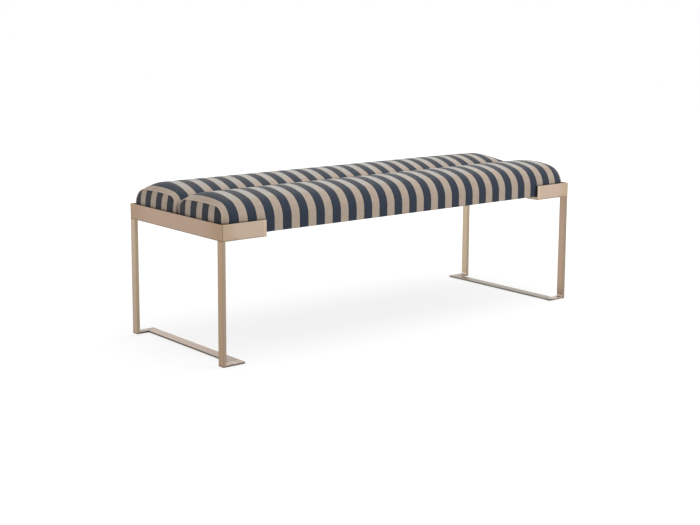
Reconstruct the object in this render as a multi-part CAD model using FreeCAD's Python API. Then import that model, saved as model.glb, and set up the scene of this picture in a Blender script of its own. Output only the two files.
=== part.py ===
import FreeCAD, Part
import math
import os

Vec = FreeCAD.Vector
TINY = 1e-6                  # slack when the edges of a solid are compared

# Driving dimensions in millimetres.
# X runs along the bench, Y towards its rear and Z up from the floor at its middle.

# The two metal end frames
frame_length = 1420.0        # outer face of one end rail to the other
frame_depth = 500.0          # outer face of the front returns to the rear ones
rail_top = 406.5             # upper edge of the rail plates above the floor
rail_height = 47.5           # rail plate and ledge together
plate_thickness = 4.0        # end rail and return plates
return_length = 150.0        # how far a return reaches along the seat
ledge_width = 50.0           # flat bar that carries the seat
ledge_thickness = 9.5
leg_width = 26.0             # across the depth of the bench
leg_thickness = 10.0         # along its length
foot_reach = 73.0            # outer face of a leg to the tip of its foot
foot_thickness = 6.0
stretcher_width = 32.5       # flat bar on the floor between the two feet
weld_radius = 5.0            # hollow of the weld between leg and foot
edge_radius = 0.8            # easing of the bar and plate edges
glide_radius = 9.0           # pads under the feet
glide_thickness = 1.5

# The seat inside the end frames
end_gap = 8.0                # end rail plate to the end of the rolls
side_gap = 6.0               # return plate to the side of the rolls
cloth = 1.5                  # cover cloth with its backing
dust_cloth = 0.6             # thin cloth under the seat
hem_width = 22.0             # cloth turned under the seat rails
fit = 0.3                    # room between cloth, foam and wood
hem_fit = 0.3                # room between one hem and the next

# The two rolls, as their section is in the middle and at their ends
shoulder_radius = 60.0       # rounding from the side to the crown
crown_rise = 14.0            # crest above the top of the shoulder rounding
end_run = 80.0               # length over which the ends are drawn in
draw_in = 7.0                # sides drawn in at the ends
end_lift = 11.0              # start of the shoulder rounding raised at the ends
end_shoulder_radius = 35.0
end_crown_rise = 5.0
end_stations = 8             # steps of the loft along a drawn-in end

# The wooden seat frame and its deck
side_padding = 9.5           # foam between cover and seat rail, front and rear
end_padding = 8.5            # the same at the ends
seat_rail_width = 45.0
seat_rail_height = 24.4
deck_thickness = 9.0
cross_rail_count = 3
corner_block_leg = 60.0      # short sides of the triangular glue blocks

# The wood screws that hold the seat on the ledges
screw_radius = 3.0
screw_length = 28.0          # under the head
head_radius = 7.0            # broad flat head that needs no washer
head_height = 2.5
hole_radius = 3.4            # screw hole in the ledges
pilot_fit = 0.05             # room round a screw in the wood
screw_inset = 38.0           # outer face of the frame to a screw
end_screw_spacing = 200.0    # between the two screws of an end ledge
return_screw_back = 40.0     # free end of a return to its screw

# Levels and half sizes that follow from them
half_length = frame_length / 2
half_depth = frame_depth / 2
rail_bottom = rail_top - rail_height
ledge_top = rail_bottom + ledge_thickness
wood_bottom = ledge_top + cloth
deck_bottom = wood_bottom + seat_rail_height
deck_top = deck_bottom + deck_thickness
foot_bottom = glide_thickness
foot_top = foot_bottom + foot_thickness
return_end = half_length - return_length
seat_half_length = half_length - plate_thickness - end_gap
seat_half_depth = half_depth - plate_thickness - side_gap
roll_half_width = (seat_half_depth - fit / 2) / 2
roll_middle = seat_half_depth - roll_half_width
wood_half_length = seat_half_length - end_padding
wood_half_depth = seat_half_depth - cloth - side_padding
inner_half_length = wood_half_length - seat_rail_width
inner_half_depth = wood_half_depth - seat_rail_width
panel_inside = seat_half_length - cloth

SIDES = (("left", -1), ("right", 1))
ROWS = (("front", -1), ("rear", 1))


def block(low, high):
    """Box between its lowest and highest corners."""
    size = [top - bottom for bottom, top in zip(low, high)]
    return Part.makeBox(*size, Vec(*low))


def prism(outline, bottom, top):
    """Straight-sided solid over an outline of X, Y points."""
    points = [Vec(x, y, bottom) for x, y in outline]
    face = Part.Face(Part.makePolygon(points + points[:1]))
    return face.extrude(Vec(0, 0, top - bottom))


def upright_cylinder(radius, x, y, bottom, top):
    return Part.makeCylinder(radius, top - bottom, Vec(x, y, bottom))


def span(edge):
    """Lengths of an edge along X, Y and Z."""
    box = edge.BoundBox
    return box.XLength, box.YLength, box.ZLength


def is_along(edge, axis):
    """True for a straight edge along one axis, 0 for X to 2 for Z."""
    lengths = span(edge)
    across = sum(lengths) - lengths[axis]
    return across < TINY < lengths[axis]


def eased(shape, wanted):
    """Round the edges that the test picks out."""
    edges = [edge for edge in shape.Edges if wanted(edge)]
    return shape.makeFillet(edge_radius, edges)


def placed(shape, x_side, y_side):
    """Mirror a piece of the left front quarter to its own side and row."""
    if x_side > 0:
        shape = shape.mirror(Vec(0, 0, 0), Vec(1, 0, 0))
    if y_side > 0:
        shape = shape.mirror(Vec(0, 0, 0), Vec(0, 1, 0))
    return shape


def save(node, shape):
    """Write one node, a single solid or a group of equal ones."""
    solids = shape.Solids
    whole = solids[0] if len(solids) == 1 else Part.makeCompound(solids)
    whole.exportStep(f"parts/{node}.step")
    print(f"{node}: {len(solids)} solid, {whole.Volume / 1000:.1f} cm3, valid {whole.isValid()}")


def screw_points():
    """X, Y of every screw: one in each return's ledge and two in each end ledge."""
    along = half_length - screw_inset
    across = half_depth - screw_inset
    points = []
    for _, x_side in SIDES:
        for _, y_side in ROWS:
            points.append((x_side * along, y_side * end_screw_spacing / 2))
            points.append((x_side * (return_end + return_screw_back), y_side * across))
    return points


def at_screws(radius, bottom, top):
    """Equal upright cylinders at every screw."""
    return Part.makeCompound([upright_cylinder(radius, x, y, bottom, top) for x, y in screw_points()])


# The end frames, drawn for the left front corner

def end_rail():
    """Upright plate across the depth, mitred to the returns at both ends."""
    outside, inside = -half_length, plate_thickness - half_length
    near = half_depth - plate_thickness
    outline = [(outside, -half_depth), (inside, -near), (inside, near), (outside, half_depth)]
    plate = prism(outline, ledge_top, rail_top)
    return eased(plate, lambda edge: is_along(edge, 1) and edge.BoundBox.ZMin > ledge_top + TINY)


def return_plate():
    """Short plate along the seat, mitred to the end rail, with an eased free end."""
    outside, inside = -half_depth, plate_thickness - half_depth
    corner, meeting = -half_length, plate_thickness - half_length
    outline = [(corner, outside), (-return_end, outside), (-return_end, inside), (meeting, inside)]
    plate = prism(outline, ledge_top, rail_top)

    def wanted(edge):
        box = edge.BoundBox
        is_top = box.ZMin > ledge_top + TINY and is_along(edge, 0)
        is_free_end = box.XMin > -return_end - TINY and is_along(edge, 2)
        return is_top or is_free_end

    return eased(plate, wanted)


def end_ledge():
    """Flat bar across the depth under the end rail."""
    bar = block((-half_length, -half_depth, rail_bottom), (ledge_width - half_length, half_depth, ledge_top))
    bar = eased(bar, lambda edge: is_along(edge, 1) and edge.BoundBox.ZMax < ledge_top - TINY)
    return bar.cut(at_screws(hole_radius, rail_bottom, ledge_top))


def return_ledge():
    """Flat bar under a return, butted against the end ledge."""
    low = (ledge_width - half_length, -half_depth, rail_bottom)
    bar = block(low, (-return_end, ledge_width - half_depth, ledge_top))
    bar = eased(bar, lambda edge: is_along(edge, 0) and edge.BoundBox.ZMax < ledge_top - TINY)
    return bar.cut(at_screws(hole_radius, rail_bottom, ledge_top))


def leg():
    """Flat bar from the end ledge down to the level of the foot's underside."""
    low = (-half_length, -half_depth, foot_bottom)
    bar = block(low, (leg_thickness - half_length, leg_width - half_depth, rail_bottom))
    return eased(bar, lambda edge: is_along(edge, 2))


def foot():
    """Flat bar inward from the leg, with eased sides and a hollow weld up the leg's inner face."""
    root, tip = leg_thickness - half_length, foot_reach - half_length
    near, far = -half_depth, leg_width - half_depth
    bar = block((root, near, foot_bottom), (tip, far, foot_top))
    bar = eased(bar, lambda edge: is_along(edge, 0))
    start = Vec(root + weld_radius, near + edge_radius, foot_top)
    end = Vec(root, near + edge_radius, foot_top + weld_radius)
    corner = Vec(root, near + edge_radius, foot_bottom + foot_thickness / 2)
    below = Vec(start.x, start.y, corner.z)
    depth = weld_radius * (1 - math.sqrt(0.5))
    hollow = Part.Arc(start, Vec(root + depth, start.y, foot_top + depth), end)
    lines = [Part.LineSegment(a, b) for a, b in ((end, corner), (corner, below), (below, start))]
    outline = Part.Wire([curve.toShape() for curve in [hollow] + lines])
    weld = Part.Face(outline).extrude(Vec(0, leg_width - 2 * edge_radius, 0))
    return bar.fuse(weld).removeSplitter()


def floor_stretcher():
    """Flat bar on the floor, flush with the foot tips and butted between the feet."""
    tip = foot_reach - half_length
    reach = half_depth - leg_width
    bar = block((tip - stretcher_width, -reach, foot_bottom), (tip, reach, foot_top))
    return eased(bar, lambda edge: is_along(edge, 1))


def floor_glides():
    """One low round pad under the middle of each foot."""
    x = half_length - (leg_thickness + foot_reach) / 2
    y = half_depth - leg_width / 2
    pads = [upright_cylinder(glide_radius, a * x, b * y, 0, foot_bottom) for _, a in SIDES for _, b in ROWS]
    return Part.makeCompound(pads)


# The upholstered rolls, drawn for the front one

def roll_outline(x, setback, inward, bottom):
    """Section of the roll at x, some way back from its end and some way inside its cloth."""
    drawn = max(0.0, 1 - setback / end_run) ** 2
    half = roll_half_width - draw_in * drawn - inward
    spring = deck_top + end_lift * drawn
    shoulder = shoulder_radius + (end_shoulder_radius - shoulder_radius) * drawn - inward
    crown = crown_rise + (end_crown_rise - crown_rise) * drawn
    rise = shoulder + crown
    reach = half - shoulder
    crown_radius = (reach ** 2 + rise ** 2 - shoulder ** 2) / (2 * crown)
    meeting = math.atan2(crown_radius - rise, reach)

    def on_shoulder(angle, side):
        out = reach + shoulder * math.cos(angle)
        return Vec(x, side * out - roll_middle, spring + shoulder * math.sin(angle))

    front, rear = [[on_shoulder(meeting * part, side) for part in (0, 0.5, 1)] for side in (-1, 1)]
    crest = Vec(x, -roll_middle, spring + rise)
    front_foot = Vec(x, front[0].y, bottom)
    rear_foot = Vec(x, rear[0].y, bottom)
    curves = [
        Part.LineSegment(front_foot, front[0]),
        Part.Arc(*front),
        Part.Arc(front[2], crest, rear[2]),
        Part.Arc(rear[2], rear[1], rear[0]),
        Part.LineSegment(rear[0], rear_foot),
        Part.LineSegment(rear_foot, front_foot),
    ]
    return Part.Wire([curve.toShape() for curve in curves])


def roll(inward, end, bottom):
    """Whole roll: a straight middle and two ends lofted through drawn-in sections."""
    start = seat_half_length - end
    setbacks = [start + (end_run - start) * step / end_stations for step in range(end_stations + 1)]
    outlines = [roll_outline(back - seat_half_length, back, inward, bottom) for back in setbacks]
    left = Part.makeLoft(outlines, True, True)
    right = placed(left, 1, -1)
    straight = 2 * (seat_half_length - end_run)
    middle = Part.Face(outlines[-1]).extrude(Vec(straight, 0, 0))
    return left.fuse([middle, right])


def foam_roll():
    """Foam on the deck, with a thin skirt down the seat rails."""
    inward = cloth + fit
    foam = roll(inward, seat_half_length - inward, wood_bottom + fit)
    low = (-wood_half_length - fit, -wood_half_depth - fit, rail_bottom)
    frame_room = block(low, (wood_half_length + fit, 0, deck_top + fit))
    return foam.cut(frame_room)


def cover():
    """Cloth round the roll: down to the deck in the crease and turned under the front seat rail."""
    outside = roll(0, panel_inside, ledge_top)
    inside = roll(cloth, panel_inside, ledge_top)
    crease_room = block((-half_length, -roll_middle, rail_bottom), (half_length, 0, deck_top + fit))
    hem_end = seat_half_length - hem_width - hem_fit
    hem_room = block((-hem_end, -half_depth, rail_bottom), (hem_end, hem_width - seat_half_depth, wood_bottom))
    cloth_piece = outside.cut(inside).cut(crease_room).fuse(outside.common(hem_room))
    return cloth_piece.cut(at_screws(hole_radius, ledge_top, wood_bottom))


def end_panel():
    """D-shaped cloth at the left end of the roll, turned under the end seat rail."""
    end_outline = roll_outline(-seat_half_length, 0, 0, ledge_top)
    upright = Part.Face(end_outline).extrude(Vec(cloth, 0, 0))
    hem_half = roll_half_width - draw_in - cloth - fit
    low = (-panel_inside, -roll_middle - hem_half, ledge_top)
    hem = block(low, (hem_width - seat_half_length, hem_half - roll_middle, wood_bottom))
    return upright.fuse(hem).cut(at_screws(hole_radius, ledge_top, wood_bottom))


def dust_cover():
    """Thin cloth stapled under the seat frame, inside the line of the screws."""
    reach = half_length - screw_inset - hole_radius - fit
    across = half_depth - screw_inset - hole_radius - fit
    return block((-reach, -across, wood_bottom - dust_cloth), (reach, across, wood_bottom))


# The seat frame

def drilled(rail):
    """Seat rail with its pilot holes for the screws."""
    depth = screw_length - (wood_bottom - rail_bottom)
    return rail.cut(at_screws(screw_radius + pilot_fit, wood_bottom, wood_bottom + depth + fit))


def long_seat_rail():
    """Front seat rail, the full length of the seat frame."""
    low = (-wood_half_length, -wood_half_depth, wood_bottom)
    return drilled(block(low, (wood_half_length, -inner_half_depth, deck_bottom)))


def end_seat_rail():
    """Left seat rail, between the long ones."""
    low = (-wood_half_length, -inner_half_depth, wood_bottom)
    return drilled(block(low, (-inner_half_length, inner_half_depth, deck_bottom)))


def cross_rail(number):
    """One of the rails spaced evenly between the end seat rails."""
    middle = -inner_half_length + 2 * inner_half_length * number / (cross_rail_count + 1)
    low = (middle - seat_rail_width / 2, -inner_half_depth, wood_bottom)
    return block(low, (middle + seat_rail_width / 2, inner_half_depth, deck_bottom))


def corner_blocks():
    """Triangular glue blocks in the four corners of the seat frame."""
    x, y = -inner_half_length, -inner_half_depth
    outline = [(x, y), (x + corner_block_leg, y), (x, y + corner_block_leg)]
    one = prism(outline, wood_bottom, deck_bottom)
    return Part.makeCompound([placed(one, a, b) for _, a in SIDES for _, b in ROWS])


def seat_deck():
    low = (-wood_half_length, -wood_half_depth, deck_bottom)
    return block(low, (wood_half_length, wood_half_depth, deck_top))


# The screws

def seat_screws():
    """Broad-headed wood screws, up through the ledges into the seat rails."""
    screws = []
    for x, y in screw_points():
        head = upright_cylinder(head_radius, x, y, rail_bottom - head_height, rail_bottom)
        shank = upright_cylinder(screw_radius, x, y, rail_bottom, rail_bottom + screw_length)
        screws.append(head.fuse(shank))
    return Part.makeCompound(screws)


def main():
    os.makedirs("parts", exist_ok=True)
    for side, a in SIDES:
        save(f"{side}_end_rail", placed(end_rail(), a, -1))
        save(f"{side}_end_ledge", placed(end_ledge(), a, -1))
        save(f"{side}_floor_stretcher", placed(floor_stretcher(), a, -1))
        save(f"{side}_seat_rail", placed(end_seat_rail(), a, -1))
        for row, b in ROWS:
            save(f"{side}_{row}_return", placed(return_plate(), a, b))
            save(f"{side}_{row}_ledge", placed(return_ledge(), a, b))
            save(f"{side}_{row}_leg", placed(leg(), a, b))
            save(f"{side}_{row}_foot", placed(foot(), a, b))
            save(f"{side}_{row}_end_panel", placed(end_panel(), a, b))
    for row, b in ROWS:
        save(f"{row}_seat_rail", placed(long_seat_rail(), -1, b))
        save(f"{row}_foam_roll", placed(foam_roll(), -1, b))
        save(f"{row}_cover", placed(cover(), -1, b))
    for number in range(1, cross_rail_count + 1):
        save(f"cross_rail_{number}", cross_rail(number))
    save("corner_blocks", corner_blocks())
    save("seat_deck", seat_deck())
    save("dust_cover", dust_cover())
    save("floor_glides", floor_glides())
    save("seat_screws", seat_screws())


main()
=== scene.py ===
# %% [markdown]
# # A striped bench in two metal end frames
# The bench is a long seat of two upholstered rolls, held at both ends in frames of flat brushed metal.
# The pieces have been measured and drawn already, so this lesson only dresses them: it loads the drawn
# pieces, gives the metal its brushed finish, and sews the soft seat as new pieces around the same places.

# %% Load the measured bench
import functools
import math

import bpy
import numpy as np
from mathutils import Matrix, Vector, noise


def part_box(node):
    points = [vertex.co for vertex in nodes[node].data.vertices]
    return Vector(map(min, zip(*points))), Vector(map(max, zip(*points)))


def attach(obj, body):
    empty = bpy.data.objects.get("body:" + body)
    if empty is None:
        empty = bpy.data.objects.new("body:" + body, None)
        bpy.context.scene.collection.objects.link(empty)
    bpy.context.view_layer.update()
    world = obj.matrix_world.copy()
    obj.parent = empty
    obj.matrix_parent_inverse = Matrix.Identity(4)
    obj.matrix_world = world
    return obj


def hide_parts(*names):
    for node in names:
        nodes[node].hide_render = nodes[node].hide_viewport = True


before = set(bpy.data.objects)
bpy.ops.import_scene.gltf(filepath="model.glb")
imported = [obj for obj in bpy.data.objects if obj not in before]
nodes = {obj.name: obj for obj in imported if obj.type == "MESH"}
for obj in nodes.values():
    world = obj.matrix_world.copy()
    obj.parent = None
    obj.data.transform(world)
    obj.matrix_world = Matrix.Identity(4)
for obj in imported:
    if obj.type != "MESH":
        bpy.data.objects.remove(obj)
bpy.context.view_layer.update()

MM = 0.001
scene = bpy.context.scene
scene.view_settings.view_transform = "Standard"

# %% [markdown]
# ## Camera
# The bench is seen from above its left front corner. A camera could be set by eye, but its place and turn
# were worked out from the corners of the metal frames, so a drawn corner falls on the pictured one.
# The three turns are written as angles, and the camera's own axes follow from them.

# %% Camera
IMAGE_WIDTH = 700               # pixels across the picture
FOCAL_PIXELS = 1307.8           # focal length in the same pixels
SENSOR_WIDTH = 36.0             # mm
CAMERA_PLACE = Vector((-2.68756, -3.21043, 1.01978))
YAW, PITCH, ROLL = 0.68755, 0.15643, 0.00591     # radians
SHIFT = -0.08                   # of the picture's width, keeps the legs nearly upright
SKYWARD = Vector((0, 0, 1))

flat_ahead = Vector((math.sin(YAW), math.cos(YAW), 0))
flat_right = Vector((math.cos(YAW), -math.sin(YAW), 0))
ahead = math.cos(PITCH) * flat_ahead - math.sin(PITCH) * SKYWARD
above = math.sin(PITCH) * flat_ahead + math.cos(PITCH) * SKYWARD
right = math.cos(ROLL) * flat_right + math.sin(ROLL) * above
upward = math.cos(ROLL) * above - math.sin(ROLL) * flat_right

camera_data = bpy.data.cameras.new("camera")
camera_data.sensor_width = SENSOR_WIDTH
camera_data.lens = FOCAL_PIXELS * SENSOR_WIDTH / IMAGE_WIDTH
camera_data.shift_y = SHIFT
camera = bpy.data.objects.new("camera", camera_data)
scene.collection.objects.link(camera)
turn = Matrix((right, upward, -ahead)).transposed()
camera.matrix_world = Matrix.Translation(CAMERA_PLACE) @ turn.to_4x4()
scene.camera = camera
print(f"lens {camera_data.lens:.1f} mm")

# %% [markdown]
# ## Node wiring
# A finish is a small sum over the surface: stripes, threads and brush marks are added and scaled. Clicked
# together, such sums are hard to read, so one class wraps a socket and lets Python's own signs add the
# Math nodes. Every other kind of node comes from its `node` method.

# %% One class for all node sums
class Wire:
    """A socket in a node tree. Sums on wires add Math nodes, and node() adds any other."""

    def __init__(self, socket):
        self.socket = socket
        self.tree = socket.id_data

    def node(self, kind, settings=None, sockets=None, out=0):
        made = self.tree.nodes.new(kind)
        for name, value in (settings or {}).items():
            setattr(made, name, value)
        for key, value in (sockets or {}).items():
            if isinstance(value, Wire):
                self.tree.links.new(value.socket, made.inputs[key])
            else:
                made.inputs[key].default_value = value
        return Wire(made.outputs[out])

    def math(self, operation, *values):
        return self.node("ShaderNodeMath", {"operation": operation}, dict(enumerate(values)))

    def __add__(self, other):
        return self.math("ADD", self, other)

    def __sub__(self, other):
        return self.math("SUBTRACT", self, other)

    def __rsub__(self, other):
        return self.math("SUBTRACT", other, self)

    def __mul__(self, other):
        return self.math("MULTIPLY", self, other)

    def __truediv__(self, other):
        return self.math("DIVIDE", self, other)

    def __lt__(self, other):
        return self.math("LESS_THAN", self, other)

    __radd__ = __add__
    __rmul__ = __mul__

    def size(self):
        return self.math("ABSOLUTE", self)

    def wave(self, pitch):
        """A sine along this distance, once in each pitch."""
        return self.math("SINE", self * (2 * math.pi / pitch))

    def rise(self, low, high):
        """0 below low, 1 above high and a smooth step between."""
        sockets = {"Value": self, "From Min": low, "From Max": high}
        return self.node("ShaderNodeMapRange", {"interpolation_type": "SMOOTHSTEP"}, sockets)

    def stretched(self, x, y, z):
        """The same place with its axes scaled, so that a texture is finer along some than along others."""
        return self.node("ShaderNodeVectorMath", {"operation": "MULTIPLY"}, {0: self, 1: (x, y, z)})

    def grain(self, detail=2.0, roughness=0.5):
        """Noise at this place, from 0 to 1 about a half."""
        sockets = {"Vector": self, "Scale": 1.0, "Detail": detail, "Roughness": roughness}
        return self.node("ShaderNodeTexNoise", None, sockets)

    def part(self, axis):
        return self.node("ShaderNodeSeparateXYZ", None, {0: self}, axis)

    def tint(self, first, second):
        """First colour at 0, second colour at 1."""
        return self.node("ShaderNodeMix", {"data_type": "RGBA"}, {0: self, 6: first, 7: second}, 2)

    def shade(self, colour):
        """A colour made lighter or darker by this factor."""
        plain = colour if isinstance(colour, Wire) else colour[:3]
        return self.node("ShaderNodeVectorMath", {"operation": "SCALE"}, {0: plain, "Scale": self})

    def bump(self, depth, strength=1.0):
        return self.node("ShaderNodeBump", None, {"Height": self, "Distance": depth, "Strength": strength})


# %% Colours and finishes
def rgb(red, green, blue):
    """Colour from screen values 0 to 255, in the linear light that nodes expect."""
    linear = [value / 255 for value in (red, green, blue)]
    linear = [v / 12.92 if v < 0.04045 else ((v + 0.055) / 1.055) ** 2.4 for v in linear]
    return (*linear, 1.0)


def new_finish(name, **constants):
    """A material with its shader. Constants are set on the shader's own sockets."""
    material = bpy.data.materials.new(name)
    material.use_nodes = True
    shader = material.node_tree.nodes["Principled BSDF"]
    for socket, value in constants.items():
        shader.inputs[socket.replace("_", " ").title()].default_value = value
    place = material.node_tree.nodes.new("ShaderNodeTexCoord").outputs["Object"]
    return material, Wire(place)


def connect(material, **wires):
    shader = material.node_tree.nodes["Principled BSDF"]
    for socket, wire in wires.items():
        material.node_tree.links.new(wire.socket, shader.inputs[socket.replace("_", " ").title()])
    print(f"finish {material.name}: {len(material.node_tree.nodes)} nodes")
    return material


print(f"a screen grey of 128 is {rgb(128, 128, 128)[0]:.3f} in linear light")

# %% [markdown]
# ## Floor and light
# The picture has a white ground with a very soft grey shadow. White could be forced with strong lamps, but
# these would bleach the cloth. Instead the floor glows a little by itself where the camera or a reflection
# looks at it, and only the rest of its white comes from the lamps, so the shadow stays and is faint.

# %% Floor
FLOOR_SIZE = 16.0
FLOOR_WHITE = 0.9, 0.9, 0.9, 1
GLOW_WHITE = 1, 1, 1, 1
GLOW_LEVEL = 1.275
FLOOR_GLOW = 0.6                # share of the floor's white that no shadow reaches
SHADOW_REACH = 1.1, 2.2         # from the middle of the bench, all white beyond the second

floor_mesh = bpy.data.meshes.new("floor")
edge = FLOOR_SIZE / 2
corners = [(-edge, -edge, 0), (edge, -edge, 0), (edge, edge, 0), (-edge, edge, 0)]
floor_mesh.from_pydata(corners, [], [(0, 1, 2, 3)])
floor = bpy.data.objects.new("floor", floor_mesh)
scene.collection.objects.link(floor)


def seen_directly(tree):
    """1 for what the camera or a reflection sees, 0 for light on its way to a surface."""
    path = tree.nodes.new("ShaderNodeLightPath")
    rays = [Wire(path.outputs[ray]) for ray in ("Is Camera Ray", "Is Glossy Ray", "Is Transmission Ray")]
    return rays[0].math("MINIMUM", rays[0] + rays[1] + rays[2], 1.0)


floor_finish = bpy.data.materials.new("white_floor")
floor_finish.use_nodes = True
tree = floor_finish.node_tree
tree.nodes.remove(tree.nodes["Principled BSDF"])
seen = seen_directly(tree)
matt = seen.node("ShaderNodeBsdfDiffuse", None, {"Color": FLOOR_WHITE})
glow = seen.node("ShaderNodeEmission", None, {"Color": GLOW_WHITE, "Strength": GLOW_LEVEL})
spot = Wire(tree.nodes.new("ShaderNodeTexCoord").outputs["Object"])
away = spot.node("ShaderNodeVectorMath", {"operation": "LENGTH"}, {0: spot}, 1)
share = FLOOR_GLOW + (1 - FLOOR_GLOW) * away.rise(*SHADOW_REACH)
surface = seen.node("ShaderNodeMixShader", None, {0: seen * share, 1: matt, 2: glow})
tree.links.new(surface.socket, tree.nodes["Material Output"].inputs["Surface"])
floor.data.materials.append(floor_finish)
print(f"floor {FLOOR_SIZE} m wide")

# %% World and lamps
SKY_LEVEL = 0.56                # even light from all round

world = bpy.data.worlds.new("studio")
scene.world = world
world.use_nodes = True
tree = world.node_tree
seen = seen_directly(tree)
tree.links.new((SKY_LEVEL + seen * (1 - SKY_LEVEL)).socket, tree.nodes["Background"].inputs["Strength"])
tree.nodes["Background"].inputs["Color"].default_value = GLOW_WHITE


def softbox(name, place, target, width, height, watts):
    """A rectangular lamp behind white cloth, turned to what it lights."""
    lamp = bpy.data.lights.new(name, "AREA")
    lamp.shape = "RECTANGLE"
    lamp.size, lamp.size_y = width, height
    lamp.energy = watts
    holder = bpy.data.objects.new(name, lamp)
    scene.collection.objects.link(holder)
    holder.location = place
    holder.rotation_euler = (Vector(target) - Vector(place)).to_track_quat("-Z", "Y").to_euler()
    print(f"lamp {name}: {watts} W")


softbox("overhead", place=(0.2, -0.3, 2.6), target=(0, 0, 0.4), width=3.0, height=2.4, watts=25)
softbox("front_right", place=(2.2, -2.8, 1.3), target=(0, -0.2, 0.35), width=1.8, height=1.6, watts=16)

# %% [markdown]
# ## Brushed metal
# The frames are flat bar and plate in a warm champagne colour, brushed along each bar and then lacquered.
# A photographed texture would show its edges, so the brush marks are noise stretched along the bar.
# Marks run across the depth on the end rails and stretchers, along the seat on the returns and up the legs.
# Each bar has a tone of its own, partly from its brushing and partly painted light and shade: the end rails
# face away from the lamps and are painted darker, the returns lighter, the right legs and the front feet
# carry painted reflections, and near the corners the metal is painted darker and warmer as shade.

# %% Tones of the metal
# Painted light and shade: the end rails face away from the lamps and are darker than the returns, and the
# corner tones are painted shade.
RAIL_METAL, RAIL_CORNER_SHADE = rgb(168, 144, 126), rgb(161, 135, 112)
RETURN_METAL, RETURN_CORNER_SHADE = rgb(184, 164, 146), rgb(176, 154, 131)
# The right legs are painted lighter as reflection.
LEG_METAL = {
    ("left", "front"): rgb(167, 143, 117), ("right", "front"): rgb(191, 165, 144),
    ("left", "rear"): rgb(176, 156, 135), ("right", "rear"): rgb(198, 178, 152),
}
# Painted shade on the legs' front faces.
LEG_FRONT_SHADE = {
    ("left", "front"): rgb(163, 145, 127), ("right", "front"): rgb(150, 135, 116),
    ("left", "rear"): rgb(170, 151, 126), ("right", "rear"): rgb(162, 146, 125),
}
# The front feet are painted lighter as reflection.
FOOT_METAL = {
    ("left", "front"): rgb(218, 198, 186), ("right", "front"): rgb(212, 194, 183),
    ("left", "rear"): rgb(182, 169, 158), ("right", "rear"): rgb(182, 169, 158),
}
STRETCHER_METAL = {"left": rgb(196, 178, 164), "right": rgb(171, 162, 151)}
# The inner part of the front right foot has the stretcher's tone, without the painted highlight.
INNER_FOOT = {("right", "front"): STRETCHER_METAL["right"]}
SIDE_SHADE = {"left": 0.62, "right": 0.3}   # how much darker the sides of the bars on the floor are
print(f"tones for {len(LEG_METAL)} legs, {len(FOOT_METAL)} feet and {len(STRETCHER_METAL)} stretchers")

# %% Places on the frames
rail_low, rail_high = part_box("left_end_rail")
return_low, return_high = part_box("left_front_return")
stretcher_low, stretcher_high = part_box("left_floor_stretcher")
leg_low, leg_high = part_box("left_front_leg")
FRAME_END, FRAME_FRONT = -rail_low.x, -return_low.y
RETURN_END = -return_high.x
RAIL_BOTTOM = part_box("left_end_ledge")[0].z
STRETCHER_OUT, STRETCHER_TOP = -stretcher_low.x, stretcher_high.z
LEG_MIDDLE, LEG_HALF = -(leg_low.y + leg_high.y) / 2, (leg_high.y - leg_low.y) / 2
print(f"frames {2 * FRAME_END / MM:.0f} by {2 * FRAME_FRONT / MM:.0f} mm,",
      f"legs {2 * LEG_HALF / MM:.0f} mm deep")

# %% Edges of plates, legs and low bars
WORN = 0.5 * MM, 4 * MM         # from the upright corner edge of a frame
END_HIGHLIGHT = 9 * MM, 12 * MM      # painted highlight, from the inner end of a return
LOW_EDGE = 1 * MM, 4.5 * MM     # painted shade, from the bottom of a rail
LEG_EDGE = LEG_HALF - 4 * MM, LEG_HALF - 1 * MM     # from the middle of a leg
NEAR_FLOOR = 1.5 * MM, 7.5 * MM
WELD = STRETCHER_TOP + 0.02 * MM, STRETCHER_TOP + 0.2 * MM     # only the welds rise above the low bars, and they carry a painted highlight
FOOT_CORNER = 25 * MM, 40 * MM  # from the front foot along a stretcher, where no painted side shade lies
EDGE_HIGHLIGHT = 2 * MM, 4 * MM     # painted highlight, from the outer edge of a stretcher
FACING_UP, FACING_FRONT, LYING = (0.5, 0.9), (0.5, 0.8), (0.3, 0.7)     # shares of a face's direction


def from_corner(place):
    """How far a place lies from the frame's end and from its front or rear."""
    return FRAME_END - place.part(0).size(), FRAME_FRONT - place.part(1).size()


def frontward(facing):
    return facing.part(1).size().rise(*FACING_FRONT)


def floor_shade(place):
    """Darker where metal stands on the floor."""
    return 1 - 0.6 * (1 - place.part(2).rise(*NEAR_FLOOR))


def plate_edges(tone, place, facing):
    """A rail or return: worn at its corner, painted shade at its bottom, painted highlights on top and at
    its free end.
    """
    from_end, from_front = from_corner(place)
    worn = (1 - from_end.rise(*WORN)) * (1 - from_front.rise(*WORN))
    end_highlight = 1 - (place.part(0).size() - RETURN_END).rise(*END_HIGHLIGHT)
    low_edge = 1 - (place.part(2) - RAIL_BOTTOM).size().rise(*LOW_EDGE)
    top_highlight = facing.part(2).rise(*FACING_UP)
    return tone + 0.1 * end_highlight - 0.35 * worn - 0.35 * low_edge + 0.25 * top_highlight


def leg_edges(tone, place, facing):
    """A leg has painted shade along the edges of its wide faces and near the floor."""
    edge = (place.part(1).size() - LEG_MIDDLE).size().rise(*LEG_EDGE)
    return (tone - 0.18 * edge * (1 - frontward(facing))) * floor_shade(place)


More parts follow.
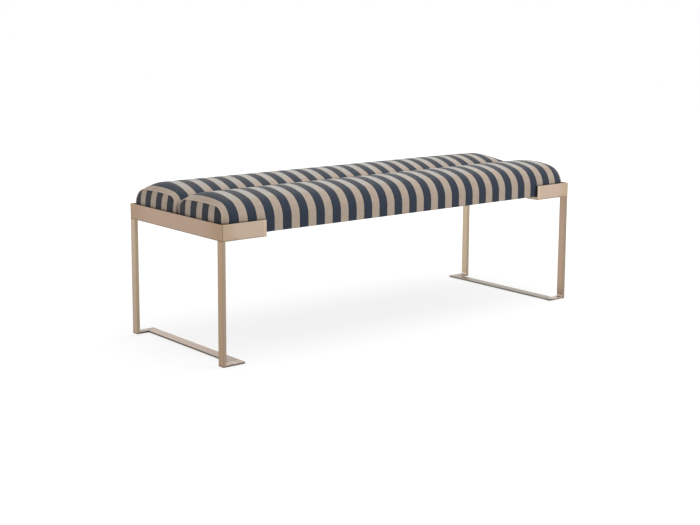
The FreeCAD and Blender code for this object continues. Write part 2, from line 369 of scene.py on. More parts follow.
def bar_edges(side_shade, tone, place, facing):
    """A bar on the floor has painted shade on its sides and painted highlights on its top's outer edge and
    weld.
    """
    upright = 1 - facing.part(2).size().rise(*LYING)
    weld = place.part(2).rise(*WELD)
    from_foot = place.part(1) - stretcher_low.y
    in_corner = from_foot.rise(-1 * MM, 0) * (1 - from_foot.rise(*FOOT_CORNER))
    shaded = upright * (1 - weld) * (1 - in_corner)
    edge_highlight = 1 - (STRETCHER_OUT - place.part(0).size()).size().rise(*EDGE_HIGHLIGHT)
    tone = tone * (1 - side_shade * shaded) * (1 + 0.5 * weld) * (1 + 0.15 * edge_highlight * (1 - upright))
    return tone * floor_shade(place)


# %% Brush marks
BRUSH_ALONG, BRUSH_ACROSS = 9.0, 1400.0     # marks for each metre
BROAD = 9                       # times as wide as a fine mark
CLOUDS = 5                      # for each metre
BRUSH_DEPTH = 0.03 * MM
CORNER_SHADE_REACH = 10 * MM, 110 * MM             # painted shade from a welded corner, half as far along a return
FOOT_HIGHLIGHT_START = 652 * MM          # outwards of this a foot keeps its painted highlight, inwards it may have its inner tone


def brushed_metal(name, axis, colour, edges, front_shading=None, corner_shade_colour=None, inner_colour=None):
    """Metal brushed along an axis. edges and the later colours add painted light and shade to parts of it.
    """
    material, place = new_finish(name, metallic=1.0)
    facing = place.node("ShaderNodeNewGeometry", out=1)
    scales = [BRUSH_ACROSS] * 3
    scales[axis] = BRUSH_ALONG
    fine = place.stretched(*scales).grain(3.0, 0.6)
    broad = place.stretched(*[scale / BROAD for scale in scales]).grain()
    cloudy = place.stretched(CLOUDS, CLOUDS, CLOUDS).grain() - 0.5
    marks = 0.7 * fine + 0.3 * broad - 0.5
    # Painted shade: darker and warmer towards the frame's corners.
    if corner_shade_colour is not None:
        from_end, from_front = from_corner(place)
        corner_shaded = 1 - (2 * from_end + from_front).rise(*CORNER_SHADE_REACH)
        colour = corner_shaded.tint(colour, corner_shade_colour)
    # Painted light and shade on faces turned to the front or the rear.
    if front_shading is not None:
        colour = frontward(facing).tint(colour, front_shading)
    # Inwards a foot takes another tone, without its painted highlight.
    if inner_colour is not None:
        inner = (FOOT_HIGHLIGHT_START - place.part(0).size()).rise(-2 * MM, 2 * MM)
        colour = inner.tint(colour, inner_colour)
    tone = edges(1 + 0.16 * marks + 0.08 * cloudy, place, facing)
    dull = 0.4 + 0.25 * marks + 0.08 * cloudy
    return connect(material, base_color=tone.shade(colour), roughness=dull,
                   normal=fine.bump(BRUSH_DEPTH, 0.4))


# The rails' front faces take the returns' painted corner shade.
rail_metal = brushed_metal("rail_metal", 1, RAIL_METAL, plate_edges, RETURN_CORNER_SHADE, RAIL_CORNER_SHADE)
return_metal = brushed_metal("return_metal", 0, RETURN_METAL, plate_edges, corner_shade_colour=RETURN_CORNER_SHADE)

# %% Metal on every bar
SIDES = {"left": -1, "right": 1}
ROWS = {"front": -1, "rear": 1}


def finish_nodes(material, *names):
    for name in names:
        nodes[name].data.materials.clear()
        nodes[name].data.materials.append(material)


for side in SIDES:
    low_edges = functools.partial(bar_edges, SIDE_SHADE[side])
    stretcher_metal = brushed_metal(f"{side}_stretcher_metal", 1, STRETCHER_METAL[side], low_edges)
    finish_nodes(stretcher_metal, f"{side}_floor_stretcher")
    finish_nodes(rail_metal, f"{side}_end_rail", f"{side}_end_ledge")
    for row in ROWS:
        foot_metal = brushed_metal(f"{side}_{row}_foot_metal", 0, FOOT_METAL[side, row], low_edges,
                                   inner_colour=INNER_FOOT.get((side, row)))
        leg_metal = brushed_metal(f"{side}_{row}_leg_metal", 2, LEG_METAL[side, row], leg_edges,
                                  LEG_FRONT_SHADE[side, row])
        finish_nodes(foot_metal, f"{side}_{row}_foot")
        finish_nodes(leg_metal, f"{side}_{row}_leg")
        finish_nodes(return_metal, f"{side}_{row}_return", f"{side}_{row}_ledge")

# %% [markdown]
# ## Wood and plastic
# The seat's wooden frame hardly shows, but it can be seen from below before the dust cloth is on, and in any
# use that takes the bench apart. Rings of a log cut lengthways give long wavering lines, so the grain is a
# wave across the board that noise pushes about.

# %% Wood of the seat frame, plywood and glides
GRAIN_ALONG, GRAIN_ACROSS = 4.0, 60.0       # for each metre
PORES = 20                      # times as fine as the grain
HARDWOOD, YEAR_RING = rgb(196, 160, 116), 9 * MM
DECK_WOOD, PEELED_RING = rgb(206, 177, 137), 25 * MM
GLIDE_GREY, SPECKLES = rgb(84, 82, 79), 900


def planed_wood(name, axis, colour, ring):
    material, place = new_finish(name)
    scales = [GRAIN_ACROSS] * 3
    scales[axis] = GRAIN_ALONG
    sway = place.stretched(*scales).grain(3.0)
    rings = (place.part((axis + 1) % 3) + place.part((axis + 2) % 3) + 2 * ring * sway).wave(ring)
    pores = place.stretched(*[scale * PORES for scale in scales]).grain()
    tone = 1 + 0.12 * rings + 0.25 * (pores - 0.5) + 0.2 * (sway - 0.5)
    return connect(material, base_color=tone.shade(colour), roughness=0.55 + 0.2 * (pores - 0.5),
                   normal=pores.bump(0.1 * MM, 0.5))


cross_rails = ["cross_rail_1", "cross_rail_2", "cross_rail_3"]
wood_along = planed_wood("wood_along", 0, HARDWOOD, YEAR_RING)
wood_across = planed_wood("wood_across", 1, HARDWOOD, YEAR_RING)
plywood = planed_wood("plywood", 0, DECK_WOOD, PEELED_RING)
finish_nodes(wood_along, "front_seat_rail", "rear_seat_rail", "corner_blocks")
finish_nodes(wood_across, "left_seat_rail", "right_seat_rail", *cross_rails)
finish_nodes(plywood, "seat_deck")

glide_plastic, place = new_finish("glide_plastic")
speckle = place.stretched(SPECKLES, SPECKLES, SPECKLES).grain()
connect(glide_plastic, base_color=(0.8 + 0.4 * speckle).shade(GLIDE_GREY),
        roughness=0.5 + 0.2 * speckle, normal=speckle.bump(0.05 * MM, 0.4))
finish_nodes(glide_plastic, "floor_glides")

# %% [markdown]
# ## Striped cloth
# The seat is covered in a woven cloth of even navy and beige stripes. The stripes have to stay with the
# cloth, so each sewn piece carries its own thread measure: how far a point lies across the stripes and along
# them. Bands, yarns and slubs are all worked out from that measure, and need no unwrapping.

# %% Striped cloth
STRIPE_PITCH = 60.6 * MM
DARK_SHARE = 0.525              # of a pitch
FRAY = 0.5 * MM                 # how far the edge of a stripe wanders from yarn to yarn
YARN = 0.9 * MM                 # from one yarn to the next
SLUBS, MOTTLES = 30, 60         # for each metre
WEAVE_DEPTH = 0.25 * MM
NAVY, BEIGE = rgb(28, 42, 60), rgb(188, 170, 153)
TOP_LIT_NAVY, TOP_LIT_BEIGE = rgb(29, 37, 49), rgb(192, 186, 178)    # painted light: paler on top, where light from above falls
END_NAVY = rgb(17, 27, 39)      # where it faces along the bench, away from the lamps
TOP_LIT_FACING, ENDWISE = (0.86, 1.0), (0.7, 0.95)                   # shares of the cloth's direction
RAIL_TOP = rail_high.z
BEHIND_RAIL = RAIL_TOP - 4 * MM, RAIL_TOP + 5 * MM
BEHIND_RETURN = RETURN_END - 1 * MM, RETURN_END + 1 * MM
CREASE_WIDTH, CREASE_LEVEL = (2 * MM, 14 * MM), (430 * MM, 455 * MM)


def woven_cloth(name, striped, painted_lightness=1.0):
    material, place = new_finish(name, sheen_weight=0.3, sheen_roughness=0.4)
    thread = place.node("ShaderNodeAttribute", {"attribute_name": "thread"}, out=1)
    across, along = thread.part(0), thread.part(1)
    warp = thread.stretched(1 / YARN, SLUBS, 0).grain()
    weft = thread.stretched(SLUBS, 1 / YARN, 0).grain()
    mottle = thread.stretched(MOTTLES, MOTTLES, 0).grain()
    weave = across.wave(2 * YARN) * along.wave(2 * YARN)
    facing = place.node("ShaderNodeNewGeometry", out=1)
    # Painted light and shade: paler where the cloth faces up, and a darker navy where it faces along the
    # bench.
    upward = facing.part(2).rise(*TOP_LIT_FACING)
    colour = upward.tint(BEIGE, TOP_LIT_BEIGE)
    if striped:
        bands = (across + FRAY * (weft - 0.5)) / STRIPE_PITCH
        dark = bands.math("FRACT", bands) < DARK_SHARE
        endwise = facing.part(0).size().rise(*ENDWISE)
        colour = dark.tint(colour, endwise.tint(upward.tint(NAVY, TOP_LIT_NAVY), END_NAVY))
    # Painted shadow behind the rails and returns, and painted shade low in the crease between the rolls.
    pocket = (1 - place.part(2).rise(*BEHIND_RAIL)) * place.part(0).size().rise(*BEHIND_RETURN)
    crease = (1 - place.part(1).size().rise(*CREASE_WIDTH)) * (1 - place.part(2).rise(*CREASE_LEVEL))
    tone = 1 + 0.5 * (warp - 0.5) + 0.35 * (weft - 0.5) + 0.2 * (mottle - 0.5) + 0.08 * weave
    tone = painted_lightness * tone * (1 - 0.9 * pocket) * (1 - 0.6 * crease)
    height = 0.6 * weave + 0.5 * warp + 0.4 * weft
    return connect(material, base_color=tone.shade(colour), roughness=0.82 + 0.12 * (warp - 0.5),
                   normal=height.bump(WEAVE_DEPTH, 0.5))


striped_cloth = woven_cloth("striped_cloth", striped=True)
# The welt cloth is painted lighter than the beige, as the highlight along the seam.
plain_cloth = woven_cloth("welt_cloth", striped=False, painted_lightness=1.25)

# %% [markdown]
# ## The two rolls
# Each roll is a foam body under its cover. Its section has straight sides, round shoulders and a low crown,
# and towards both ends the sides draw in and the crown sinks to the sewn end panel. A stretched box would
# look stiff, so the section is drawn as a line of arcs for many places along the roll and joined to a skin.

# %% Places taken from the drawn pieces
cover_low, cover_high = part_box("front_cover")
panel_low, panel_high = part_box("left_front_end_panel")
wood_low, wood_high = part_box("front_seat_rail")
SEAT_END = -panel_low.x
ROLL_HALF = (cover_high.y - cover_low.y) / 2
ROLL_MIDDLE = -(cover_high.y + cover_low.y) / 2
SEAT_UNDER = cover_low.z
DECK_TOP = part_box("seat_deck")[1].z
print(f"roll {2 * SEAT_END / MM:.0f} mm long and {2 * ROLL_HALF / MM:.1f} mm wide,",
      f"crest at {cover_high.z / MM:.1f} mm")

# %% The four ends of the rolls
class RollEnd:
    """How a roll changes towards one end: over what run, how suddenly, and its section at the seam.

    The sides draw in, and the shoulders and crown take other roundings and levels. A crown may also fall
    slowly, long before its end. The seam may be tucked back on the outer side, and lean back at its top.
    """

    def __init__(self, run, power, draw_in, lift, shoulder, crown, fall=0, tuck=0, lean=0):
        self.run, self.power = run * MM, power
        self.draw_in, self.lift = draw_in * MM, lift * MM
        self.shoulder, self.crown = shoulder * MM, crown * MM
        self.fall, self.tuck, self.lean = fall * MM, tuck * MM, lean * MM

    def drawn(self, setback):
        """How far the change has gone at some way back from the end, 1 at the seam."""
        return max(0.0, 1 - setback / self.run) ** self.power


roll_ends = {
    ("left", "front"): RollEnd(run=42, power=2.5, draw_in=7.5, lift=12.5, shoulder=37, crown=2.5, lean=2),
    ("right", "front"): RollEnd(run=60, power=3.5, draw_in=3, lift=-7, shoulder=60, crown=4,
                                fall=5, tuck=9),
    ("left", "rear"): RollEnd(run=46, power=2.5, draw_in=6, lift=7, shoulder=44, crown=2, lean=4.5),
    ("right", "rear"): RollEnd(run=80, power=2, draw_in=7, lift=13, shoulder=35, crown=6, fall=3),
}
most_drawn = max(end.draw_in for end in roll_ends.values())
print(f"{len(roll_ends)} roll ends, drawn in by up to {most_drawn / MM:.1f} mm")

# %% Section of a roll
SHOULDER = 66 * MM              # rounding from the side to the crown
CROWN = {"front": 9 * MM, "rear": 12 * MM}
LONG_RUN = 300 * MM             # over which a roll falls slowly before its end
HEM = 22 * MM
FOLD = 5 * MM                   # rounding where the cloth turns under the seat
FIT = 0.3 * MM
HEM_POINTS, FOLD_POINTS, SIDE_POINTS = 5, 6, 7
SHOULDER_POINTS, CROWN_POINTS, CREASE_POINTS = 16, 30, 3


def line(start, stop, count):
    return np.linspace(start, stop, count)


def arc(middle, radius, start, stop, count):
    angles = np.linspace(start, stop, count)
    return np.column_stack((middle[0] + radius * np.cos(angles), middle[1] + radius * np.sin(angles)))


def joined(parts):
    """One line from several that follow each other."""
    return np.vstack([parts[0]] + [points[1:] for points in parts[1:]])


def roll_section(setback, end, full_crown):
    """Cloth line from hem to crease as across, up points, at some way back from a roll's end."""
    drawn = end.drawn(setback)
    half = ROLL_HALF - end.draw_in * drawn
    spring = DECK_TOP + end.lift * drawn
    shoulder = SHOULDER + (end.shoulder - SHOULDER) * drawn
    crown = full_crown + (end.crown - full_crown) * drawn
    crown -= end.fall * (1 - drawn) * max(0.0, 1 - setback / LONG_RUN) ** 2
    rise, reach = shoulder + crown, half - shoulder
    crown_radius = (reach ** 2 + rise ** 2 - shoulder ** 2) / (2 * crown)
    crown_middle = 0, spring + rise - crown_radius
    meeting = math.atan2(crown_radius - rise, reach)
    under = SEAT_UNDER + FIT
    cloth = joined([
        line((HEM - half, under), (FOLD - half, under), HEM_POINTS),
        arc((FOLD - half, under + FOLD), FOLD, -math.pi / 2, -math.pi, FOLD_POINTS),
        line((-half, under + FOLD), (-half, spring), SIDE_POINTS),
        arc((-reach, spring), shoulder, math.pi, math.pi - meeting, SHOULDER_POINTS),
        arc(crown_middle, crown_radius, math.pi - meeting, meeting, CROWN_POINTS),
        arc((reach, spring), shoulder, meeting, 0, SHOULDER_POINTS),
        line((half, spring), (half, DECK_TOP), CREASE_POINTS),
    ])
    in_crease = cloth[:, 0] > 0
    cloth[in_crease, 1] = np.maximum(cloth[in_crease, 1], DECK_TOP + FIT)
    return cloth


seam = roll_section(0, roll_ends["left", "front"], CROWN["front"])
cloth_count = len(seam)
print(f"section of {cloth_count} points, left front seam up to {seam[:, 1].max() / MM:.1f} mm")

# %% Seam, lining and stations
LINING_GAP = 12 * MM            # from the crease to the lining
LINING_POINTS = 12, 4, 3
END_STEPS, MIDDLE_STEP = 20, 8 * MM
END_RUN = 80 * MM
CROWDING = 1.6                  # stations lie closer together towards an end


def tucked(end, across, up):
    """How far the end seam lies back, on the roll's outer side and towards its top."""
    height = np.maximum(0, (up - RAIL_TOP) / (panel_high.z - RAIL_TOP))
    return end.tuck * np.maximum(0, -across / ROLL_HALF) ** 2 + end.lean * height ** 2


def lining_section():
    """The closing line inside the roll, from the crease along the deck and down the seat rail to the hem."""
    rail = wood_low.y + ROLL_MIDDLE - FIT
    deck = DECK_TOP + FIT
    under = SEAT_UNDER + 5 * FIT
    corners = [(ROLL_HALF - LINING_GAP, deck), (rail, deck), (rail, under), (HEM - ROLL_HALF, under)]
    return joined([line(*ends) for ends in zip(corners, corners[1:], LINING_POINTS)])


end_setbacks = END_RUN * (np.arange(END_STEPS) / END_STEPS) ** CROWDING
middle_count = round(2 * (SEAT_END - END_RUN) / MIDDLE_STEP)
stations = np.concatenate((
    end_setbacks - SEAT_END,
    np.linspace(END_RUN - SEAT_END, SEAT_END - END_RUN, middle_count),
    (SEAT_END - end_setbacks)[::-1],
))
lining = lining_section()
section_count = cloth_count + len(lining)
print(f"{len(stations)} stations of {cloth_count} cloth points and {len(lining)} inside")

# %% New pieces from points and faces
def mesh_piece(name, points, faces, thread=None):
    """A new piece, smooth all over, with its thread measure where it is cloth."""
    mesh = bpy.data.meshes.new(name)
    mesh.from_pydata([tuple(point) for point in points], [], faces)
    mesh.shade_smooth()
    if thread is not None:
        measure = mesh.attributes.new("thread", "FLOAT_VECTOR", "POINT")
        measure.data.foreach_set("vector", np.asarray(thread, np.float32).ravel())
    piece = bpy.data.objects.new(name, mesh)
    scene.collection.objects.link(piece)
    print(f"{name}: {len(mesh.vertices)} points")
    return piece


def ring_faces(rings, count):
    """Quads between closed rings of equal count, and a face over the first and the last ring."""
    faces = [tuple(range(count))[::-1], tuple(range((rings - 1) * count, rings * count))]
    for ring in range(rings - 1):
        for index in range(count):
            near, far = ring * count + index, ring * count + (index + 1) % count
            faces.append((near, far, far + count, near + count))
    return faces


def flipped(faces):
    return [face[::-1] for face in faces]


# %% Join the sections to a closed roll
FIRST_STRIPE = -677.8 * MM      # where the first dark band starts
SHEAR_RUN = 60 * MM             # over which the cloth slips to take up a rounded end


def roll_points(row):
    """All points of a roll, as an array of stations by section points."""
    rings = []
    for x in stations:
        end = roll_ends["left" if x < 0 else "right", row]
        setback = SEAT_END - abs(x)
        across, up = np.vstack((roll_section(setback, end, CROWN[row]), lining)).T
        along = x - math.copysign(1, x) * end.drawn(setback) * tucked(end, across, up)
        rings.append(np.column_stack((along, ROWS[row] * (ROLL_MIDDLE - across), up)))
    return np.array(rings)


def thread_measure(rings):
    """Place of each point in the flat cloth: across the stripes, and along them from the hem."""
    steps = np.linalg.norm(np.diff(rings, axis=0), axis=2) - np.abs(np.diff(rings[:, :, 0], axis=0))
    spare = np.concatenate((np.zeros((1, section_count)), np.cumsum(steps, axis=0)))
    from_left = stations[:, None] + SEAT_END
    sewn_first = spare * np.exp(-from_left / SHEAR_RUN)
    drawn_over = np.maximum(0, spare - spare[len(stations) // 2])
    across = rings[:, :, 0] - FIRST_STRIPE + sewn_first + drawn_over
    steps = np.linalg.norm(np.diff(rings, axis=1), axis=2)
    along = np.concatenate((np.zeros((len(stations), 1)), np.cumsum(steps, axis=1)), axis=1)
    return np.stack((across, along, np.zeros_like(across)), axis=2)


def sewn_roll(row):
    """A roll with its cloth skin and the lining that closes it inside."""
    rings = roll_points(row)
    faces = ring_faces(len(stations), section_count)
    if row == "front":
        faces = flipped(faces)
    return mesh_piece(f"{row}_roll", rings.reshape(-1, 3), faces, thread_measure(rings))


rolls = {row: sewn_roll(row) for row in ROWS}

# %% [markdown]
# ## Plumping
# A drawn skin is too even for stuffed cloth. Blender's cloth simulation blows each roll up a little from
# inside while its seams, hems and crease are held, as foam pushes against a tight cover. The cloth is given
# slightly more length than it needs, and no point may move further than a small cap.

# %% Plump a roll with the cloth simulation
FRAMES = 20
PUSH = 4.0                      # pressure inside
SPARE = 0.004                   # extra cloth, as a share of its length
TENSION, BENDING = 15, 1.0
CAP = 3.0 * MM
TINY = 1e-9                     # keeps a point that stays still from dividing by 0


def places(piece, mesh=None):
    found = np.empty(3 * len(piece.data.vertices))
    (mesh or piece.data).vertices.foreach_get("co", found)
    return found.reshape(-1, 3)


def plump(piece, held):
    """Simulate, cap the movement and keep the result. held is 1 where a point is sewn or stapled down."""
    group = piece.vertex_groups.new(name="held")
    for index, weight in enumerate(held):
        group.add([index], float(weight), "REPLACE")
    before = places(piece)
    cloth = piece.modifiers.new("cloth", "CLOTH")
    cloth.settings.vertex_group_mass = group.name
    cloth.settings.use_pressure = True
    cloth.settings.uniform_pressure_force = PUSH
    cloth.settings.shrink_min = -SPARE
    cloth.settings.tension_stiffness = TENSION
    cloth.settings.bending_stiffness = BENDING
    cloth.settings.effector_weights.gravity = 0
    cloth.point_cache.frame_end = FRAMES
    for number in range(1, FRAMES + 1):
        scene.frame_set(number)
    moved = places(piece, piece.evaluated_get(bpy.context.evaluated_depsgraph_get()).data) - before
    piece.modifiers.remove(cloth)
    piece.vertex_groups.remove(group)
    scene.frame_set(1)
    length = np.linalg.norm(moved, axis=1, keepdims=True)
    moved *= CAP * np.tanh(length / CAP) / np.maximum(length, TINY)
    piece.data.vertices.foreach_set("co", (before + moved).ravel())
    piece.data.update()
    print(f"{piece.name}: moved up to {length.max() / MM:.1f} mm, kept {np.abs(moved).max() / MM:.1f} mm")


# %% Hold the seams and plump both rolls
SEAM_START = HEM_POINTS + FOLD_POINTS - 1   # first point above the fold
HELD_SIDE, HELD_CREASE = 2, 6               # points held above the fold and low in the crease


def held_points():
    """Weights round one section: hem, fold and lining are held, and so is the bottom of the crease."""
    weights = np.zeros(section_count)
    weights[:SEAM_START + HELD_SIDE] = 1.0
    weights[cloth_count - HELD_CREASE:] = 1.0
    return weights


for roll in rolls.values():
    held = np.tile(held_points(), (len(stations), 1))
    held[[0, -1]] = 1.0
    plump(roll, held.ravel())

for row, roll in rolls.items():
    spots = places(roll)
    spots[:, 1] = ROWS[row] * np.maximum(ROWS[row] * spots[:, 1], FIT / 2)
    roll.data.vertices.foreach_set("co", spots.ravel())
    roll.data.update()
    roll.data.materials.append(striped_cloth)
    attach(roll, "root")
    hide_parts(f"{row}_cover", f"{row}_foam_roll")
    print(f"{roll.name}: crest at {spots[:, 2].max() / MM:.1f} mm")

# %% [markdown]
# ## End panels
# A D-shaped panel of the same cloth closes each roll, with its stripes upright. The outline is the roll's
# own end section, and rings of it shrink towards the middle while the panel swells a little outwards.

# %% End panels
PANEL_BULGE = 4 * MM
BULGE_POWER = 3
PANEL_BACK = 1.5 * MM
PANEL_RINGS = 16
LAST_RING = 0.02                # size of the innermost ring, as a share of the outline
BOTTOM_POINTS = 20
PANEL_STRIPES = {"front": -13 * MM, "rear": 23 * MM}     # start of a dark band, measured across the seat


def seam_line(side, row):
    """The end of the roll's cloth from the fold under its outer side to the crease."""
    return roll_section(0, roll_ends[side, row], CROWN[row])[SEAM_START:]


def end_panel(side, row):
    over = seam_line(side, row)
    end = roll_ends[side, row]
    bottom = SEAT_UNDER + FIT
    outline = np.vstack((over, line((over[-1, 0], bottom), (over[0, 0], bottom), BOTTOM_POINTS)))
    middle = np.array((0.0, DECK_TOP))
    points, thread = [], []
    for ring in range(PANEL_RINGS + 1):
        share = max(1 - ring / PANEL_RINGS, LAST_RING)
        for across, up in middle + (outline - middle) * share:
            y = ROWS[row] * (ROLL_MIDDLE - across)
            out = SEAT_END + PANEL_BULGE * (1 - share ** BULGE_POWER) - tucked(end, across, up)
            points.append((SIDES[side] * out, y, up))
            thread.append((ROWS[row] * (y - PANEL_STRIPES[row]), up, 0))
    count = len(outline)
    back = [(x - SIDES[side] * PANEL_BACK, y, z) for x, y, z in points[:count]]
    faces = ring_faces(PANEL_RINGS + 2, count)
    if ROWS[row] * SIDES[side] > 0:
        faces = flipped(faces)
    return mesh_piece(f"{side}_{row}_panel", back + points, faces, thread[:count] + thread)


for side, row in roll_ends:
    panel = end_panel(side, row)
    panel.data.materials.append(striped_cloth)
    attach(panel, "root")
    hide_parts(f"{side}_{row}_end_panel")

# %% [markdown]
# ## Welts
# A slim cord in the plain beige cloth is sewn into the seam between roll and panel. It could be a curve with
# a bevel, but a mesh tube can carry the thread measure, so its weave is like that of the other cloth.

# %% Welts round the end panels
WELT_RADIUS = 1.6 * MM
WELT_SIDES = 10
WELT_OUT = 0.4 * MM             # past the end of the roll
ASKEW = 0.31, 0.52, 0.79        # a direction that no path starts in


def tube(path, radius, sides):
    """Points of a round tube along a path, ring by ring."""
    path = np.asarray(path, float)
    ahead = np.gradient(path, axis=0)
    ahead /= np.linalg.norm(ahead, axis=1, keepdims=True)
    aside = np.cross(ahead[0], ASKEW)
    rings = []
    for place, direction in zip(path, ahead):
        aside = aside - direction * (aside @ direction)
        aside /= np.linalg.norm(aside)
        other = np.cross(direction, aside)
        angles = np.linspace(0, 2 * math.pi, sides, endpoint=False)
        rings.append(place + radius * (np.outer(np.cos(angles), aside) + np.outer(np.sin(angles), other)))
    return np.vstack(rings)


for side, row in roll_ends:
    over = seam_line(side, row)
    ends = SEAT_END + WELT_OUT - tucked(roll_ends[side, row], *over.T)
    path = np.column_stack((SIDES[side] * ends, ROWS[row] * (ROLL_MIDDLE - over[:, 0]), over[:, 1]))
    lengths = np.concatenate(([0], np.cumsum(np.linalg.norm(np.diff(over, axis=0), axis=1))))
    thread = [(length, index * YARN, 0) for length in lengths for index in range(WELT_SIDES)]
    welt = mesh_piece(f"{side}_{row}_welt", tube(path, WELT_RADIUS, WELT_SIDES),
                      ring_faces(len(path), WELT_SIDES), thread)
    welt.data.materials.append(plain_cloth)
    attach(welt, "root")
    print(welt.name, f"{lengths[-1] / MM:.0f} mm long")

# %% [markdown]
# ## Under the seat
# A thin black cloth closes the seat below, so that no dust falls out. It is cut back round the ledges that
# carry the seat, stretched over the rails and stapled, and it sags slightly in each bay between two rails.

# %% Black finish of the dust cloth
DUST_GREY = rgb(44, 43, 44)
FIBRES, PATCHES = 1500, 25      # for each metre

dust_black, place = new_finish("dust_cloth", sheen_weight=0.1)
fibres = place.stretched(FIBRES, FIBRES, FIBRES).grain(4.0, 0.7)
patches = place.stretched(PATCHES, PATCHES, PATCHES).grain()
connect(dust_black, base_color=(0.5 + 0.7 * fibres + 0.3 * patches).shade(DUST_GREY),
        roughness=0.9 + 0.1 * (fibres - 0.5), normal=fibres.bump(0.3 * MM, 0.6))

# %% Cut of the dust cloth
LEDGE_GAP = 1.0 * MM
NOTCH_GAP = 6 * MM              # from the end of a ledge to the notch cut for it
HEM_GAP = 0.8 * MM              # below the hems
WIDE_SIDE = 226 * MM
NOTCH_STEPS_X, LONG_STEPS = 7, 72
NOTCH_STEPS_Y, WIDE_STEPS = 4, 26

end_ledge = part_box("left_end_ledge")[1]
side_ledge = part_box("left_front_ledge")[1]
LONG_END = -end_ledge.x - LEDGE_GAP
NOTCH_END = -side_ledge.x - NOTCH_GAP
NOTCH_SIDE = -side_ledge.y - LEDGE_GAP
DUST_LEVEL = SEAT_UNDER - HEM_GAP


def grid_lines(notch, side, notch_steps, steps):
    """Places of the cloth's lines along one axis, with lines of their own past the notch."""
    past = np.linspace(notch, side, notch_steps)
    return np.concatenate((-past[::-1], np.linspace(-notch, notch, steps)[1:-1], past))


cloth_x = grid_lines(NOTCH_END, LONG_END, NOTCH_STEPS_X, LONG_STEPS)
cloth_y = grid_lines(NOTCH_SIDE, WIDE_SIDE, NOTCH_STEPS_Y, WIDE_STEPS)
print(f"{len(cloth_x)} by {len(cloth_y)} lines")

# %% Sag of the dust cloth between the rails
SAG = 4.0 * MM
FULLNESS = 0.7                  # below 1, a bay hangs like a flat bag
WRINKLE = 1.2 * MM
WRINKLES_ALONG, WRINKLES_ACROSS, WRINKLE_SEED = 6, 22, 1.7
BAY_SIDE = -wood_high.y

rail_boxes = [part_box(name) for name in ("left_seat_rail", *cross_rails, "right_seat_rail")]
bays = sorted((near[1].x, far[0].x) for near, far in zip(rail_boxes, rail_boxes[1:]))


def sagging(x, y):
    """How far the cloth hangs down at a place, nothing on a rail and most in the middle of a bay."""
    for start, stop in bays:
        if start < x < stop and abs(y) < BAY_SIDE:
            along, across = (x - start) / (stop - start), (y + BAY_SIDE) / (2 * BAY_SIDE)
            wrinkle = noise.noise(Vector((x * WRINKLES_ALONG, y * WRINKLES_ACROSS, WRINKLE_SEED)))
            swag = (math.sin(math.pi * along) * math.sin(math.pi * across)) ** FULLNESS
            return (SAG + WRINKLE * wrinkle) * swag
    return 0.0


points = [(x, y, DUST_LEVEL - sagging(x, y)) for y in cloth_y for x in cloth_x]
print(f"{len(bays)} bays, lowest place {min(z for x, y, z in points) / MM:.1f} mm above the floor")

# %% Dust cloth
columns = len(cloth_x)
faces = []
for row_index in range(len(cloth_y) - 1):
    for column in range(columns - 1):
        near = row_index * columns + column
        middle_x = (cloth_x[column] + cloth_x[column + 1]) / 2
        middle_y = (cloth_y[row_index] + cloth_y[row_index + 1]) / 2
        if abs(middle_x) < NOTCH_END or abs(middle_y) < NOTCH_SIDE:
            faces.append((near, near + columns, near + columns + 1, near + 1))
used = sorted({index for face in faces for index in face})
renumber = {index: number for number, index in enumerate(used)}
dust = mesh_piece("dust_cloth", [points[index] for index in used],
                  [tuple(renumber[index] for index in face) for face in faces])
dust.data.materials.append(dust_black)
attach(dust, "root")
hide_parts("dust_cover")

# %% [markdown]
# ## Staples and screws
# Staples of zinc wire hold the dust cloth along its edges: each is a bent tube. Broad-headed screws come up
# through the ledges. Only their heads show, so each is a turned profile with a low dome, and the points
# near its middle are pressed in along two lines for the cross recess.

# %% Zinc finish
ZINC, SPANGLES = rgb(188, 190, 192), 700

zinc_steel, place = new_finish("zinc_steel", metallic=1.0)
spangle = place.stretched(SPANGLES, SPANGLES, SPANGLES).grain(3.0)
connect(zinc_steel, base_color=(0.85 + 0.3 * spangle).shade(ZINC), roughness=0.25 + 0.2 * spangle,
        normal=spangle.bump(0.05 * MM, 0.3))

# %% Staples of the dust cloth
STAPLE_STEP, STAPLE_WIDTH, STAPLE_LEG = 36 * MM, 11 * MM, 3 * MM
WIRE_RADIUS, WIRE_SIDES = 0.55 * MM, 6
EDGE_IN = 7 * MM


def run_of_places(start, stop):
    """Places at even steps along a straight edge, none at its ends, each with the edge's direction."""
    start, stop = np.array(start), np.array(stop)
    length = np.linalg.norm(stop - start)
    count = int(length / STAPLE_STEP)
    shares = (np.arange(count) + 0.5) / count
    return [(start + (stop - start) * share, (stop - start) / length) for share in shares]


def shifted(faces, first):
    """The same faces for points that come later in a list."""
    return [tuple(index + first for index in face) for face in faces]


staple_places = []
for way in (-1, 1):
    wide, long = way * (WIDE_SIDE - EDGE_IN), way * (LONG_END - EDGE_IN)
    staple_places += run_of_places((-NOTCH_END, wide), (NOTCH_END, wide))
    staple_places += run_of_places((long, -NOTCH_SIDE), (long, NOTCH_SIDE))
points, faces = [], []
low, high = DUST_LEVEL - WIRE_RADIUS / 2, DUST_LEVEL + STAPLE_LEG
for place, along in staple_places:
    near, far = place - along * STAPLE_WIDTH / 2, place + along * STAPLE_WIDTH / 2
    path = [(*near, high), (*near, low), (*far, low), (*far, high)]
    faces += shifted(ring_faces(len(path), WIRE_SIDES), len(points))
    points += list(tube(path, WIRE_RADIUS, WIRE_SIDES))
staples = mesh_piece("dust_cloth_staples", points, faces)
staples.data.materials.append(zinc_steel)
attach(staples, "root")
print(f"{len(staple_places)} staples")

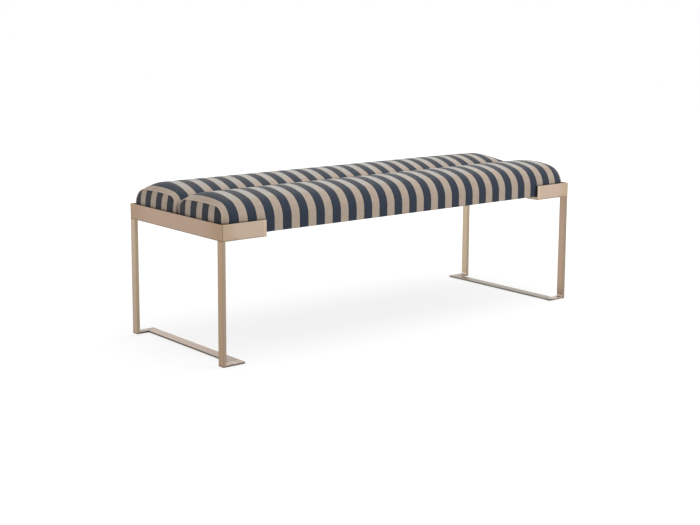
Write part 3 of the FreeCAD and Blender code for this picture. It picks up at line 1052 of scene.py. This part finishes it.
# %% Profile of a screw with a cross recess
screw_low, screw_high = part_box("seat_screws")
HEAD_RADIUS, SHANK_RADIUS, TIP_RADIUS = 7 * MM, 3 * MM, 0.2 * MM
HEAD_TOP = RAIL_BOTTOM
HEAD_DEPTH = HEAD_TOP - screw_low.z
RIM_SHARE, DOME_SHARE = 0.3, 0.7            # of the head's depth
TIP_LENGTH = 6 * MM
RECESS_REACH, RECESS_HALF, RECESS_DEPTH = 3.2 * MM, 0.75 * MM, 1.5 * MM
RECESS_SLOPE, RECESS_FLAT = 0.3 * MM, 0.6   # width of its sloping walls, and flat share of its reach
HEAD_SIDES = 72
head_radii = np.concatenate((np.linspace(0.05 * MM, 4 * MM, 16), np.linspace(4.4 * MM, HEAD_RADIUS, 8)))


def step(value, low, high):
    """0 below low, 1 above high, straight between."""
    return min(max((value - low) / (high - low), 0.0), 1.0)


def recess(x, y):
    """Depth of the cross recess at a place on the head."""
    slim, long = min(abs(x), abs(y)), max(abs(x), abs(y))
    across = 1 - step(slim, RECESS_HALF, RECESS_HALF + RECESS_SLOPE)
    return RECESS_DEPTH * across * (1 - step(long, RECESS_FLAT * RECESS_REACH, RECESS_REACH))


def screw_rings():
    """Rings of a screw round the upright axis, from the head's middle over its rim to the tip."""
    rings = []
    for radius in head_radii:
        dome = DOME_SHARE * HEAD_DEPTH * (1 - (radius / HEAD_RADIUS) ** 2)
        rings.append((radius, HEAD_TOP - RIM_SHARE * HEAD_DEPTH - dome, True))
    rings.append((HEAD_RADIUS, HEAD_TOP, False))
    rings.append((SHANK_RADIUS, HEAD_TOP, False))
    rings.append((SHANK_RADIUS, screw_high.z - TIP_LENGTH, False))
    rings.append((TIP_RADIUS, screw_high.z, False))
    return rings


profile = screw_rings()
print(f"screw of {len(profile)} rings, head {HEAD_DEPTH / MM:.1f} mm deep")

# %% Screws in the ledges
END_SCREW = 672 * MM, 100 * MM
RETURN_SCREW = 600 * MM, 212 * MM
TURN_BY_SIDE, TURN_BY_PLACE = 0.7, 1.9      # no two heads stop at the same angle

points, faces = [], []
for spot_x, spot_y in (END_SCREW, RETURN_SCREW):
    for side in SIDES.values():
        for row in ROWS.values():
            turned = TURN_BY_SIDE * side + TURN_BY_PLACE * row * spot_x
            faces += shifted(flipped(ring_faces(len(profile), HEAD_SIDES)), len(points))
            for radius, level, on_head in profile:
                for angle in np.linspace(0, 2 * math.pi, HEAD_SIDES, endpoint=False):
                    x, y = radius * math.cos(angle), radius * math.sin(angle)
                    dent = recess(x, y) if on_head else 0.0
                    away_x = x * math.cos(turned) - y * math.sin(turned)
                    away_y = x * math.sin(turned) + y * math.cos(turned)
                    points.append((side * spot_x + away_x, row * spot_y + away_y, level + dent))
screws = mesh_piece("ledge_screws", points, faces)
screws.data.materials.append(zinc_steel)
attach(screws, "root")
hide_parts("seat_screws")
print(f"{len(points) // (len(profile) * HEAD_SIDES)} screws")
